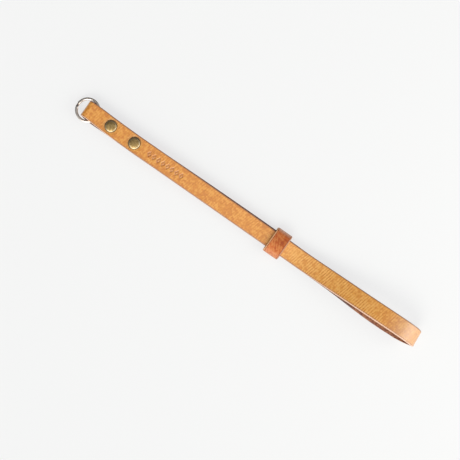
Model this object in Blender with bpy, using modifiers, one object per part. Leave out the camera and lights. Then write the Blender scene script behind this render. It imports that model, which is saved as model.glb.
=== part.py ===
"""A leather camera wrist strap with a split ring.

One narrow strip of leather is doubled over into a long wrist loop. Its ring end is folded
round a split ring and held by two double-cap rivets, and a leather keeper slides on both
layers. The strap lies on a table, as it is stored.

Metres, +Z up. +X runs along the strap from the ring to the loop, and the origin is on the
table, under the middle of the whole thing.
"""
import math
from collections import namedtuple

import bmesh
import bpy
from mathutils import Matrix, Vector

MM = 0.001

# Leather
STRAP_LENGTH = 228.0 * MM
STRAP_WIDTH = 10.4 * MM
LEATHER = 1.8 * MM
EDGE_BEVEL = 0.35 * MM
LAYER_GAP = 0.3 * MM
FIT_GAP = 0.3 * MM

# Wrist loop
LOOP_HEIGHT = 18.0 * MM
BEND_REACH = 11.5 * MM
SIDE_SETTLING = 1.8
ROLL_DELAY = 0.3
SETTLE_RUN = 17.0 * MM

# Rivets, with distances along the strap from the folded end
RIVET_FROM_END = 18.5 * MM
RIVET_SPACING = 16.3 * MM
RIVET_CAP = 7.1 * MM
RIVET_FLAT = 4.4 * MM
CAP_HEIGHT = 1.2 * MM
CAP_RIM = 0.35 * MM
BACK_HEIGHT = 1.0 * MM
BACK_BEVEL = 0.3 * MM
POST_DIAMETER = 2.8 * MM
POST_GRIP = 0.3 * MM
INNER_END_SETBACK = 6.0 * MM
TAIL_OVERRUN = 6.0 * MM
STACK_RUN = 8.0 * MM

# Split ring
RING_DIAMETER = 14.4 * MM
RING_BAND = 1.5 * MM
RING_WIRE = 0.8 * MM
RING_CHAMFER = 0.2 * MM
TURN_GAP = 0.15 * MM
RING_FROM_END = 1.8 * MM
RING_SLIP = 0.25 * MM
SPLIT_ANGLE = math.radians(188)
STEP_ANGLE = math.radians(11)

# Keeper
KEEPER_FROM_END = 133.4 * MM
KEEPER_ALONG = 9.7 * MM
KEEPER_ACROSS = 15.9 * MM
KEEPER_WALL = 1.8 * MM
KEEPER_CORNER = 3.0 * MM
KEEPER_BEVEL = 0.45 * MM
KEEPER_EASE = 2.5 * MM

# Facets
STATION_STEP = 4.0 * MM
BEND_STEPS = 18
FOLD_STEPS = 10
CORNER_STEPS = 6
ROUND_SIDES = 28
RING_STEPS = 52

# Lanes of the strip: along and side are shares of its length and width, roll is in degrees
# with the -Y edge up, and width is the share of the full width.
Lane = namedtuple("Lane", "along side roll width")
RIVET_LANES = (
    Lane(0.081, -0.096, 0, 1.00),
    Lane(0.152, -0.123, 0, 1.00),
    Lane(0.200, -0.121, 0, 1.00),
)
TAIL_LANES = (
    Lane(0.000, -0.080, 0, 0.95),
    Lane(0.024, -0.105, 0, 0.99),
    Lane(0.048, -0.108, 0, 1.00),
) + RIVET_LANES
UPPER_LANES = (
    Lane(0.000, -0.033, 0, 0.95),
    Lane(0.010, -0.037, 0, 0.97),
    Lane(0.024, -0.045, 0, 0.98),
    Lane(0.048, -0.066, 0, 1.00),
) + RIVET_LANES + (
    Lane(0.350, -0.118, 0, 1.00),
    Lane(0.560, -0.121, 0, 1.00),
    Lane(0.610, -0.121, 0, 1.00),
    Lane(0.680, -0.124, 2, 1.00),
    Lane(0.750, -0.112, 8, 1.01),
    Lane(0.847, -0.086, 14, 1.01),
    Lane(0.944, -0.049, 15, 1.01),
    Lane(1.000, -0.041, 13, 1.00),
)
LOWER_LANES = RIVET_LANES + (
    Lane(0.350, -0.080, 0, 1.00),
    Lane(0.480, -0.063, 0, 1.00),
    Lane(0.560, -0.068, 0, 1.00),
    Lane(0.610, -0.095, 0, 1.00),
    Lane(0.700, -0.125, 0, 1.00),
    Lane(0.766, -0.155, 0, 1.00),
    Lane(0.867, -0.250, 0, 1.00),
    Lane(0.919, -0.250, 0, 1.00),
    Lane(0.950, -0.222, 0, 1.00),
    Lane(1.000, -0.190, 0, 1.00),
)

# Heights of the strip's middle surface
TAIL_Z = BACK_HEIGHT + FIT_GAP + LEATHER / 2
INNER_Z = TAIL_Z + LEATHER + LAYER_GAP
STACK_TOP_Z = INNER_Z + LEATHER + LAYER_GAP
TABLE_Z = LEATHER / 2
KEEPER_LOWER_Z = KEEPER_WALL + FIT_GAP + LEATHER / 2
KEEPER_UPPER_Z = KEEPER_LOWER_Z + LEATHER + LAYER_GAP
LOOP_TOP_Z = LOOP_HEIGHT - LEATHER / 2

# Places along the strap
RIVET_PLACES = (RIVET_FROM_END, RIVET_FROM_END + RIVET_SPACING)
INNER_END = RIVET_PLACES[0] - INNER_END_SETBACK
TAIL_END = RIVET_PLACES[1] + TAIL_OVERRUN
STACK_END = RIVET_PLACES[1] + STACK_RUN
KEEPER_START = KEEPER_FROM_END - KEEPER_ALONG / 2 - KEEPER_EASE
KEEPER_END = KEEPER_FROM_END + KEEPER_ALONG / 2 + KEEPER_EASE
FOLD_RADIUS = (STACK_TOP_Z - TAIL_Z) / 2
FOLD_PLACE = FOLD_RADIUS + LEATHER / 2
BEND_PLACE = STRAP_LENGTH - LEATHER / 2 - BEND_REACH


def ease(start, end, share):
    """Go smoothly from start to end as share goes from 0 to 1."""
    share = min(max(share, 0), 1)
    return start + (end - start) * share * share * (3 - 2 * share)


def lane_at(lanes, along):
    """Read a lane table at a distance from the folded end, on smooth curves through its rows."""
    share = min(max(along / STRAP_LENGTH, lanes[0].along), lanes[-1].along)
    index = next(i for i in range(len(lanes) - 1) if share <= lanes[i + 1].along)
    start, end = lanes[index], lanes[index + 1]
    before = lanes[max(index - 1, 0)]
    after = lanes[min(index + 2, len(lanes) - 1)]
    span = end.along - start.along
    t = (share - start.along) / span
    values = []
    for a, b, c, d in zip(before[1:], start[1:], end[1:], after[1:]):
        slope_b = (c - a) / (end.along - before.along) * span
        slope_c = (d - b) / (after.along - start.along) * span
        values.append(
            (2 * t**3 - 3 * t**2 + 1) * b + (t**3 - 2 * t**2 + t) * slope_b
            + (3 * t**2 - 2 * t**3) * c + (t**3 - t**2) * slope_c
        )
    return Lane(along, *values)


def mix_lanes(start, end, share):
    return Lane(start.along, *(ease(a, b, share) for a, b in zip(start[1:], end[1:])))


def bend_lane(lower, upper, share):
    """In the loop's round end the side settles early and the roll late."""
    lane = mix_lanes(lower, upper, SIDE_SETTLING * share)
    return lane._replace(roll=ease(lower.roll, upper.roll, (share - ROLL_DELAY) / (1 - ROLL_DELAY)))


def lower_height(along):
    """Height of the lower layer: off the rivets, through the keeper, then down on the table."""
    if along < KEEPER_END:
        return ease(INNER_Z, KEEPER_LOWER_Z, (along - STACK_END) / (KEEPER_START - STACK_END))
    return ease(KEEPER_LOWER_Z, TABLE_Z, (along - KEEPER_END) / SETTLE_RUN)


def upper_height(along):
    """Height of the upper layer: off the rivets, through the keeper, then up over the loop."""
    if along < KEEPER_END:
        share = (along - STACK_END) / (KEEPER_START - STACK_END)
        return ease(STACK_TOP_Z, KEEPER_UPPER_Z, share)
    return ease(KEEPER_UPPER_Z, LOOP_TOP_Z, (along - KEEPER_END) / (BEND_PLACE - KEEPER_END))


def between(start, end, step):
    """Evenly spaced values from start to end, about a step apart, without the end."""
    count = max(round(abs(end - start) / step), 1)
    return [start + (end - start) * i / count for i in range(count)]


# A point of the strip's middle line, its lane there and the way that its grain side faces.
Station = namedtuple("Station", "along height lane normal")
UP = Vector((0, 0, 1))
DOWN = Vector((0, 0, -1))


def strip_stations():
    """Follow the strip from its inner end, round the wrist loop and the eye, to its tail."""
    stations = []
    for along in between(INNER_END, BEND_PLACE, STATION_STEP):
        stations.append(Station(along, lower_height(along), lane_at(LOWER_LANES, along), DOWN))

    lower, upper = lane_at(LOWER_LANES, BEND_PLACE), lane_at(UPPER_LANES, BEND_PLACE)
    half_height = (LOOP_TOP_Z - TABLE_Z) / 2
    for step in range(BEND_STEPS + 1):
        angle = math.pi * step / BEND_STEPS
        along = BEND_PLACE + BEND_REACH * math.sin(angle)
        height = TABLE_Z + half_height * (1 - math.cos(angle))
        normal = Vector((math.sin(angle) * half_height, 0, -math.cos(angle) * BEND_REACH))
        lane = bend_lane(lower, upper, step / BEND_STEPS)
        stations.append(Station(along, height, lane, normal.normalized()))

    for along in between(BEND_PLACE, FOLD_PLACE, STATION_STEP)[1:]:
        stations.append(Station(along, upper_height(along), lane_at(UPPER_LANES, along), UP))

    for step in range(FOLD_STEPS + 1):
        angle = math.pi * step / FOLD_STEPS
        along = FOLD_PLACE - FOLD_RADIUS * math.sin(angle)
        height = TAIL_Z + FOLD_RADIUS * (1 + math.cos(angle))
        normal = Vector((-math.sin(angle), 0, math.cos(angle)))
        lane = mix_lanes(lane_at(UPPER_LANES, along), lane_at(TAIL_LANES, along), step / FOLD_STEPS)
        stations.append(Station(along, height, lane, normal))

    for along in between(TAIL_END, FOLD_PLACE, STATION_STEP)[::-1]:
        stations.append(Station(along, TAIL_Z, lane_at(TAIL_LANES, along), DOWN))
    return stations


def side_at(along):
    """How far the strip's middle line has drifted sideways at a place on its upper layer."""
    return lane_at(UPPER_LANES, along).side * STRAP_WIDTH


RING_SIDE = side_at(RING_FROM_END + RING_DIAMETER / 2 - RING_BAND / 2) - RING_SLIP
KEEPER_SIDE = side_at(KEEPER_FROM_END)
FRONT_EDGE = min(RING_SIDE - RING_DIAMETER / 2, KEEPER_SIDE - KEEPER_ACROSS / 2)
REAR_EDGE = max(RING_SIDE + RING_DIAMETER / 2, KEEPER_SIDE + KEEPER_ACROSS / 2)
TIP_LANE = bend_lane(lane_at(LOWER_LANES, BEND_PLACE), lane_at(UPPER_LANES, BEND_PLACE), 0.5)
LOOP_TIP = STRAP_LENGTH + STRAP_WIDTH / 2 * math.sin(math.radians(TIP_LANE.roll))
MIDDLE_ALONG = (RING_FROM_END - RING_DIAMETER / 2 + LOOP_TIP) / 2
MIDDLE_SIDE = (FRONT_EDGE + REAR_EDGE) / 2


def make_collection(name):
    collection = bpy.data.collections.new(name)
    bpy.context.scene.collection.children.link(collection)
    return collection


def make_material(name, color, roughness, metallic=0.0):
    material = bpy.data.materials.new(name)
    material.use_nodes = True
    shader = material.node_tree.nodes["Principled BSDF"]
    shader.inputs["Base Color"].default_value = (*color, 1)
    shader.inputs["Roughness"].default_value = roughness
    shader.inputs["Metallic"].default_value = metallic
    material.diffuse_color = (*color, 1)
    return material


def add_object(name, data, collection, parent, location=(0, 0, 0)):
    thing = bpy.data.objects.new(name, data)
    collection.objects.link(thing)
    thing.parent = parent
    thing.location = location
    return thing


def mark_as_guide(thing):
    """Show a cutter or a profile as wires, and leave it out of renders."""
    thing.hide_render = True
    thing.display_type = "WIRE"


def add_thickness(thing, thickness):
    solidify = thing.modifiers.new("leather_thickness", "SOLIDIFY")
    solidify.thickness = thickness
    solidify.offset = 0
    solidify.use_even_offset = True


def add_bevel(thing, width):
    bevel = thing.modifiers.new("cut_edges", "BEVEL")
    bevel.width = width
    bevel.segments = 1
    bevel.limit_method = "ANGLE"
    bevel.angle_limit = math.radians(50)
    bevel.harden_normals = True


def build_strap(collection, cutters, frame, material):
    """The leather strip: a ribbon on its stations, made solid, with holes for the rivets."""
    stations = strip_stations()
    shape = bmesh.new()
    bmesh.ops.create_grid(shape, x_segments=len(stations) - 1, y_segments=1, size=1)
    rows = sorted(shape.verts, key=lambda vert: (vert.co.y, vert.co.x))
    near_row, far_row = rows[:len(stations)], rows[len(stations):]
    for station, near, far in zip(stations, near_row, far_row):
        roll = math.radians(station.lane.roll)
        across = Vector((0, math.cos(roll), 0)) - station.normal * math.sin(roll)
        middle = Vector((station.along, station.lane.side * STRAP_WIDTH, station.height))
        half = across * station.lane.width * STRAP_WIDTH / 2
        near.co = middle - half
        far.co = middle + half
    mesh = bpy.data.meshes.new("strap")
    shape.to_mesh(mesh)
    shape.free()
    mesh.shade_smooth()
    mesh.materials.append(material)
    strap = add_object("strap", mesh, collection, frame)
    add_thickness(strap, LEATHER)
    add_bevel(strap, EDGE_BEVEL)
    for number, place in enumerate(RIVET_PLACES, start=1):
        hole = build_hole_cutter(f"rivet_hole_{number}", place, cutters, frame)
        cut = strap.modifiers.new(f"rivet_hole_{number}", "BOOLEAN")
        cut.operation = "DIFFERENCE"
        cut.solver = "EXACT"
        cut.object = hole


def build_hole_cutter(name, place, cutters, frame):
    shape = bmesh.new()
    top, bottom = STACK_TOP_Z + LEATHER, TAIL_Z - LEATHER
    bmesh.ops.create_cone(
        shape,
        cap_ends=True,
        segments=ROUND_SIDES,
        radius1=POST_DIAMETER / 2 + FIT_GAP,
        radius2=POST_DIAMETER / 2 + FIT_GAP,
        depth=top - bottom,
        matrix=Matrix.Translation((0, 0, (top + bottom) / 2)),
    )
    mesh = bpy.data.meshes.new(name)
    shape.to_mesh(mesh)
    shape.free()
    cutter = add_object(name, mesh, cutters, frame, (place, side_at(place), 0))
    mark_as_guide(cutter)
    return cutter


def build_keeper(collection, frame, material):
    """The sliding band: a rounded loop round both layers, run along the strap and thickened."""
    half_across = (KEEPER_ACROSS - KEEPER_WALL) / 2
    height = KEEPER_UPPER_Z - KEEPER_LOWER_Z + LEATHER + 2 * FIT_GAP + KEEPER_WALL
    radius = KEEPER_CORNER - KEEPER_WALL / 2
    corners = (
        (half_across - radius, KEEPER_WALL / 2 + radius, -90),
        (half_across - radius, KEEPER_WALL / 2 + height - radius, 0),
        (radius - half_across, KEEPER_WALL / 2 + height - radius, 90),
        (radius - half_across, KEEPER_WALL / 2 + radius, 180),
    )
    shape = bmesh.new()
    loop = []
    for side, z, start in corners:
        for step in range(CORNER_STEPS + 1):
            angle = math.radians(start + 90 * step / CORNER_STEPS)
            y = side + radius * math.cos(angle)
            loop.append(shape.verts.new((-KEEPER_ALONG / 2, y, z + radius * math.sin(angle))))
    edges = [shape.edges.new((loop[i - 1], loop[i])) for i in range(len(loop))]
    extruded = bmesh.ops.extrude_edge_only(shape, edges=edges)["geom"]
    end_row = [item for item in extruded if isinstance(item, bmesh.types.BMVert)]
    bmesh.ops.translate(shape, verts=end_row, vec=(KEEPER_ALONG, 0, 0))
    bmesh.ops.recalc_face_normals(shape, faces=shape.faces)
    mesh = bpy.data.meshes.new("keeper")
    shape.to_mesh(mesh)
    shape.free()
    mesh.shade_smooth()
    mesh.materials.append(material)
    keeper = add_object("keeper", mesh, collection, frame, (KEEPER_FROM_END, KEEPER_SIDE, 0))
    add_thickness(keeper, KEEPER_WALL)
    add_bevel(keeper, KEEPER_BEVEL)


def build_turned(name, profile, collection, frame, location, material):
    """Turn a profile of radius and height, from the top of the axis down the outer side."""
    mesh = bpy.data.meshes.new(name)
    points = [(radius, 0, height) for radius, height in profile]
    mesh.from_pydata(points, [(i, i + 1) for i in range(len(points) - 1)], [])
    mesh.materials.append(material)
    turned = add_object(name, mesh, collection, frame, location)
    screw = turned.modifiers.new("turned", "SCREW")
    screw.steps = ROUND_SIDES
    screw.render_steps = ROUND_SIDES
    screw.use_merge_vertices = True
    screw.merge_threshold = 0.00001
    screw.use_smooth_shade = True


def build_rivet(number, place, collection, frame, material):
    """A double-cap rivet: a back cap with its post, and a front cap pressed on the post."""
    cap_radius = RIVET_CAP / 2
    post_radius = POST_DIAMETER / 2
    cap_seat = STACK_TOP_Z + LEATHER / 2 + FIT_GAP
    spot = (place, side_at(place), 0)

    base_profile = [
        (0, cap_seat + POST_GRIP),
        (post_radius, cap_seat + POST_GRIP),
        (post_radius, BACK_HEIGHT),
        (cap_radius - BACK_BEVEL, BACK_HEIGHT),
        (cap_radius, BACK_HEIGHT - BACK_BEVEL),
        (cap_radius, BACK_BEVEL),
        (cap_radius - BACK_BEVEL, 0),
        (0, 0),
    ]
    build_turned(f"rivet_{number}_base", base_profile, collection, frame, spot, material)

    shoulder_steps = 4
    shoulder = []
    for step in range(shoulder_steps + 1):
        angle = math.radians(90 * step / shoulder_steps)
        radius = RIVET_FLAT / 2 + (cap_radius - RIVET_FLAT / 2) * math.sin(angle)
        shoulder.append((radius, CAP_RIM + (CAP_HEIGHT - CAP_RIM) * math.cos(angle)))
    cap_profile = [
        (0, CAP_HEIGHT),
        *shoulder,
        (cap_radius, 0),
        (post_radius + FIT_GAP, 0),
        (post_radius + FIT_GAP, POST_GRIP + FIT_GAP),
        (0, POST_GRIP + FIT_GAP),
    ]
    seat = (place, side_at(place), cap_seat)
    build_turned(f"rivet_{number}_cap", cap_profile, collection, frame, seat, material)


def ring_level(angle):
    """Height of the wire along its two turns, with one short step up between them."""
    lift = (RING_WIRE + TURN_GAP) / 2
    return ease(-lift, lift, (angle - 2 * math.pi + STEP_ANGLE) / (2 * STEP_ANGLE))


def build_split_ring(collection, guides, frame, material):
    """Two turns of flat wire that step over each other at the split."""
    half_band, half_wire = RING_BAND / 2, RING_WIRE / 2
    outline = (
        (half_band - RING_CHAMFER, half_wire),
        (half_band, half_wire - RING_CHAMFER),
        (half_band, RING_CHAMFER - half_wire),
        (half_band - RING_CHAMFER, -half_wire),
        (RING_CHAMFER - half_band, -half_wire),
        (-half_band, RING_CHAMFER - half_wire),
        (-half_band, half_wire - RING_CHAMFER),
        (RING_CHAMFER - half_band, half_wire),
    )
    section = make_poly_curve("ring_section", [(x, y, 0) for x, y in outline], closed=True)
    section_guide = add_object("ring_section", section, guides, frame)
    mark_as_guide(section_guide)

    radius = (RING_DIAMETER - RING_BAND) / 2
    start, end = STEP_ANGLE, 4 * math.pi - STEP_ANGLE
    path = []
    for angle in between(start, end, math.pi / RING_STEPS * 2) + [end]:
        turn = angle + SPLIT_ANGLE
        path.append((radius * math.cos(turn), radius * math.sin(turn), ring_level(angle)))
    wire = make_poly_curve("split_ring", path)
    wire.twist_mode = "Z_UP"
    wire.bevel_mode = "OBJECT"
    wire.bevel_object = section_guide
    wire.use_fill_caps = True
    wire.materials.append(material)
    place = (RING_FROM_END, RING_SIDE, INNER_Z)
    add_object("split_ring", wire, collection, frame, place)


def make_poly_curve(name, points, closed=False):
    curve = bpy.data.curves.new(name, "CURVE")
    curve.dimensions = "3D"
    spline = curve.splines.new("POLY")
    spline.points.add(len(points) - 1)
    for point, place in zip(spline.points, points):
        point.co = (*place, 1)
    spline.use_cyclic_u = closed
    return curve


def main():
    for thing in list(bpy.data.objects):
        bpy.data.objects.remove(thing, do_unlink=True)
    parts = make_collection("wrist_strap")
    guides = make_collection("cutters_and_guides")
    tan_leather = make_material("tan_leather", (0.74, 0.33, 0.10), 0.5)
    brown_leather = make_material("brown_leather", (0.49, 0.13, 0.035), 0.5)
    antique_brass = make_material("antique_brass", (0.30, 0.20, 0.09), 0.38, 1.0)
    nickel_steel = make_material("nickel_steel", (0.72, 0.70, 0.67), 0.2, 1.0)

    frame = bpy.data.objects.new("strap_frame", None)
    parts.objects.link(frame)
    frame.location = (-MIDDLE_ALONG, -MIDDLE_SIDE, 0)

    build_strap(parts, guides, frame, tan_leather)
    build_keeper(parts, frame, brown_leather)
    build_split_ring(parts, guides, frame, nickel_steel)
    for number, place in enumerate(RIVET_PLACES, start=1):
        build_rivet(number, place, parts, frame, antique_brass)


main()
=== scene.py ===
# %% [markdown]
# # A leather wrist strap with a split ring
#
# One narrow strip of leather is doubled into a long wrist loop. Its ring end is folded round a
# split ring and held by two double-cap rivets, and a leather keeper slides on both layers.
#
# Every piece here is a sweep: a path that says where the material runs, and a section that says
# what it looks like when it is cut through. That is also how the real pieces come about: the
# strip and the keeper are cut from a hide, the ring is wound from flat wire, and the rivets are
# turned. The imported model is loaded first, because each piece takes its place from it.

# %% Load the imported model
import math
from collections import namedtuple

import bmesh
import bpy
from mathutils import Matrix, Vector


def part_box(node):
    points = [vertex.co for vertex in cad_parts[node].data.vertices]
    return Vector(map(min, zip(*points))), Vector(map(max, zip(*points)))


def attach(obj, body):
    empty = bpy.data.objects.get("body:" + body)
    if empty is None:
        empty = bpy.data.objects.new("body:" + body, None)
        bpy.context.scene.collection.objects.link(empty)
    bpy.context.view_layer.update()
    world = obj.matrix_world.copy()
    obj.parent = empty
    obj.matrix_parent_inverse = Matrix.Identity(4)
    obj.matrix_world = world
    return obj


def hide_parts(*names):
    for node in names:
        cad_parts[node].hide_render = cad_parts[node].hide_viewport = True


MM = 0.001

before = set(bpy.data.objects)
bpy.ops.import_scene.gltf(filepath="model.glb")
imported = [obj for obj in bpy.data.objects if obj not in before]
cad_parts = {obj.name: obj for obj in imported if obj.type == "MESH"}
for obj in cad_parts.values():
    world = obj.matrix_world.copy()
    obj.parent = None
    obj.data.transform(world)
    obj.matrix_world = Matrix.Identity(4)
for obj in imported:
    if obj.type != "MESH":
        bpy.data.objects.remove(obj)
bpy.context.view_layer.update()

# %% [markdown]
# ## The camera
#
# The strap was photographed from straight above, lying askew in the picture. A camera could be
# aimed by eye, but the picture's scale gives its place: the width of the table that the picture
# takes in, seen from a height, fixes the lens. The Standard view transform keeps the white
# table white and the leather as golden as it is.

# %% Camera
CAMERA_HEIGHT = 450 * MM
CAMERA_PLACE = (-4.54 * MM, -9.21 * MM, CAMERA_HEIGHT)
STRAP_TILT = math.radians(34.9)
TABLE_IN_VIEW = 263.6 * MM


def add_object(name, data):
    thing = bpy.data.objects.new(name, data)
    bpy.context.scene.collection.objects.link(thing)
    return thing


lens = bpy.data.cameras.new("camera")
lens.lens = lens.sensor_width * CAMERA_HEIGHT / TABLE_IN_VIEW
lens.clip_start = 10 * MM
camera = add_object("camera", lens)
camera.location = CAMERA_PLACE
camera.rotation_euler = (0, 0, STRAP_TILT)
bpy.context.scene.camera = camera
bpy.context.scene.view_settings.view_transform = "Standard"
print("lens in mm:", round(lens.lens, 1))

# %% [markdown]
# ## Nodes in a few words
#
# Materials, the sky and Geometry Nodes are all trees of nodes. They could be clicked together,
# but a few helpers make them short to write: `put` adds a node and fills its sockets with
# numbers or with links, `calc` does arithmetic, and `rise` turns a distance into a soft step
# from 0 to 1. The others do what their names say with numbers, vectors or colours.

# %% Node helpers
def fill(tree, node, inputs):
    """Fill a node's sockets with values, or with links from other nodes."""
    for socket, value in inputs.items():
        if isinstance(value, bpy.types.Node):
            value = value.outputs[0]
        if isinstance(value, bpy.types.NodeSocket):
            tree.links.new(value, node.inputs[socket])
        else:
            node.inputs[socket].default_value = value


def put(tree, kind, inputs=None, **settings):
    """Add a node, give it its settings, and fill its sockets."""
    node = tree.nodes.new(kind)
    for name, value in settings.items():
        setattr(node, name, value)
    fill(tree, node, inputs or {})
    return node


def calc(tree, operation, *values, clamp=False):
    inputs = dict(enumerate(values))
    return put(tree, "ShaderNodeMath", inputs, operation=operation, use_clamp=clamp).outputs[0]


def plus(tree, first, second):
    return calc(tree, "ADD", first, second)


def minus(tree, first, second):
    return calc(tree, "SUBTRACT", first, second)


def times(tree, first, second):
    return calc(tree, "MULTIPLY", first, second)


def rise(tree, value, start, end):
    """Go softly from 0 at start to 1 at end."""
    inputs = {"Value": value, "From Min": start, "From Max": end}
    return put(tree, "ShaderNodeMapRange", inputs, interpolation_type="SMOOTHSTEP").outputs[0]


def vector_calc(tree, operation, *values):
    return put(tree, "ShaderNodeVectorMath", dict(enumerate(values)), operation=operation)


def position(tree):
    return put(tree, "GeometryNodeInputPosition")


def stretch(tree, vector, factor):
    return put(tree, "ShaderNodeVectorMath", {0: vector, 3: factor}, operation="SCALE")


def split(tree, vector):
    return put(tree, "ShaderNodeSeparateXYZ", {0: vector}).outputs


def combine(tree, x=0.0, y=0.0, z=0.0):
    return put(tree, "ShaderNodeCombineXYZ", {0: x, 1: y, 2: z})


def mix_value(tree, share, first, second):
    return put(tree, "ShaderNodeMix", {0: share, 2: first, 3: second}).outputs[0]


def mix_color(tree, share, first, second, blend="MIX"):
    inputs = {0: share, 6: first, 7: second}
    return put(tree, "ShaderNodeMix", inputs, data_type="RGBA", blend_type=blend).outputs[2]


# %% [markdown]
# ## Table and light
#
# The table is a pale lit sheet: part of its brightness comes from below, as on a light table,
# which keeps the strap's shadow faint. A broad sun on the near side stands for a soft box,
# because a sun lights the whole table evenly, and a small sun past the loop's end puts a glint
# on the rivets. The window is a lamp with a size and a place instead: only leather that bends
# towards it shines, so the sheen stays on the loop's round end. The sky is brighter low down
# than overhead, so the flat tops of the metal look dark and their rims look bright.

# %% Table
TABLE_WIDTH = 4.0
TABLE_DROP = 0.1 * MM
SHEET_COLOR = (0.24, 0.24, 0.225, 1)
SHEET_GLOW = (0.645, 0.650, 0.665, 1)


def new_material(name):
    material = bpy.data.materials.new(name)
    material.use_nodes = True
    return material, material.node_tree


def shade(material, inputs):
    """Fill the sockets of a material's own shader."""
    fill(material.node_tree, material.node_tree.nodes["Principled BSDF"], inputs)
    return material


half = TABLE_WIDTH / 2
corners = [(x * half, y * half, -TABLE_DROP) for x, y in ((-1, -1), (1, -1), (1, 1), (-1, 1))]
table_mesh = bpy.data.meshes.new("table")
table_mesh.from_pydata(corners, [], [(0, 1, 2, 3)])
table = add_object("table", table_mesh)

lit_sheet, _ = new_material("lit_sheet")
shade(lit_sheet, {
    "Base Color": SHEET_COLOR, "Roughness": 0.9, "Specular IOR Level": 0.0,
    "Emission Color": SHEET_GLOW, "Emission Strength": 1.0,
})
table_mesh.materials.append(lit_sheet)

# %% Lamps and sky
SKY_OVERHEAD = (0.46, 0.46, 0.46, 1)
SKY_LIT = (1.42, 1.42, 1.41, 1)
SKY_DIM = (0.12, 0.12, 0.13, 1)
LIT_WAY = (0.80, -0.60, 0)
LOOP_END = Vector((116, 0, 12)) * MM
WINDOW_WAY = Vector((0.71, 0.37, 0.77))
WINDOW_AWAY = 360 * MM
WINDOW_WIDTH = 300 * MM
WINDOW_POWER = 0.57


def add_sun(name, way, strength, spread, color):
    """A sun of a given spread in degrees that shines from a direction given as (x, y, z)."""
    lamp = bpy.data.lights.new(name, "SUN")
    lamp.energy = strength
    lamp.angle = math.radians(spread)
    lamp.color = color
    add_object(name, lamp).rotation_euler = Vector(way).to_track_quat("Z", "Y").to_euler()


add_sun("soft_box_near", (0.10, -0.72, 1.0), 1.24, 34, (1.0, 0.99, 0.96))
add_sun("small_sun", (0.48, 0.02, 0.88), 0.16, 8, (1.0, 0.98, 0.95))

window_lamp = bpy.data.lights.new("window", "AREA")
window_lamp.shape = "SQUARE"
window_lamp.size = WINDOW_WIDTH
window_lamp.energy = WINDOW_POWER
window_lamp.color = (1.0, 0.99, 0.98)
window = add_object("window", window_lamp)
window.location = LOOP_END + WINDOW_WAY.normalized() * WINDOW_AWAY
window.rotation_euler = WINDOW_WAY.to_track_quat("Z", "Y").to_euler()

sky = bpy.data.worlds.new("sky")
sky.use_nodes = True
bpy.context.scene.world = sky
sky_tree = sky.node_tree
way = put(sky_tree, "ShaderNodeTexCoord")
overhead = rise(sky_tree, split(sky_tree, way)["Z"], 0.78, 0.97)
towards = vector_calc(sky_tree, "DOT_PRODUCT", way, LIT_WAY).outputs["Value"]
low_sky = mix_color(sky_tree, rise(sky_tree, towards, -0.45, 0.55), SKY_DIM, SKY_LIT)
whole_sky = mix_color(sky_tree, overhead, low_sky, SKY_OVERHEAD)
fill(sky_tree, sky_tree.nodes["Background"], {"Color": whole_sky})
print("lamps:", [thing.name for thing in bpy.data.objects if thing.type == "LIGHT"])

# %% [markdown]
# ## Trees that make geometry
#
# A Geometry Nodes tree lives on a modifier, and its sizes are named inputs that can be changed
# afterwards. `new_tree` makes an empty one with those inputs, and `run_tree` sets them, turns
# the result into a plain mesh and takes the modifier off, because the piece has to stand on
# its own when it leaves this file.

# %% Tree helpers
SOCKET_KINDS = {
    float: "NodeSocketFloat",
    int: "NodeSocketInt",
    tuple: "NodeSocketVector",
    bpy.types.Object: "NodeSocketObject",
    bpy.types.Material: "NodeSocketMaterial",
}


def new_tree(name, sizes):
    """An empty Geometry Nodes tree with a named input for each size."""
    tree = bpy.data.node_groups.new(name, "GeometryNodeTree")
    tree.interface.new_socket("Geometry", in_out="INPUT", socket_type="NodeSocketGeometry")
    for label, value in sizes.items():
        kind = SOCKET_KINDS[type(value)]
        tree.interface.new_socket(label, in_out="INPUT", socket_type=kind)
    tree.interface.new_socket("Geometry", in_out="OUTPUT", socket_type="NodeSocketGeometry")
    return tree, tree.nodes.new("NodeGroupInput").outputs


def end_tree(tree, geometry, material):
    """Every tree ends in real geometry with its material on."""
    real = put(tree, "GeometryNodeRealizeInstances", {0: geometry})
    dressed = put(tree, "GeometryNodeSetMaterial", {"Geometry": real, "Material": material})
    put(tree, "NodeGroupOutput", {0: dressed})


def run_tree(tree, sizes, start_mesh, name, sharp_angle):
    """Run a tree on a start mesh, and keep its result as a plain mesh that faces outwards."""
    piece = add_object(name, start_mesh)
    modifier = piece.modifiers.new(tree.name, "NODES")
    modifier.node_group = tree
    named_inputs = [item for item in tree.interface.items_tree if item.in_out == "INPUT"]
    sockets = {item.name: item.identifier for item in named_inputs}
    for label, value in sizes.items():
        modifier[sockets[label]] = value
    view = bpy.context.evaluated_depsgraph_get()
    mesh = bpy.data.meshes.new_from_object(piece.evaluated_get(view), depsgraph=view)
    piece.modifiers.clear()
    piece.data = mesh
    mesh.name = name

    shape = bmesh.new()
    shape.from_mesh(mesh)
    if shape.calc_volume(signed=True) < 0:
        bmesh.ops.reverse_faces(shape, faces=shape.faces)
    open_edges = sum(not edge.is_manifold for edge in shape.edges)
    shape.to_mesh(mesh)
    shape.free()
    mesh.shade_smooth()
    mesh.set_sharp_from_angle(angle=math.radians(sharp_angle))
    mesh.calc_loop_triangles()
    print(name, "triangles:", len(mesh.loop_triangles), "open edges:", open_edges)
    return piece


def drawing(name, points, closed=False):
    """A line drawn in a plane, such as a path or a section, as a mesh of edges."""
    edges = [(i, i + 1) for i in range(len(points) - 1)]
    if closed:
        edges.append((len(points) - 1, 0))
    mesh = bpy.data.meshes.new(name)
    mesh.from_pydata([(*point, 0)[:3] for point in points], edges, [])
    return mesh


def draw_section(name, points):
    return bpy.data.objects.new(name, drawing(name, points, closed=True))


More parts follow.
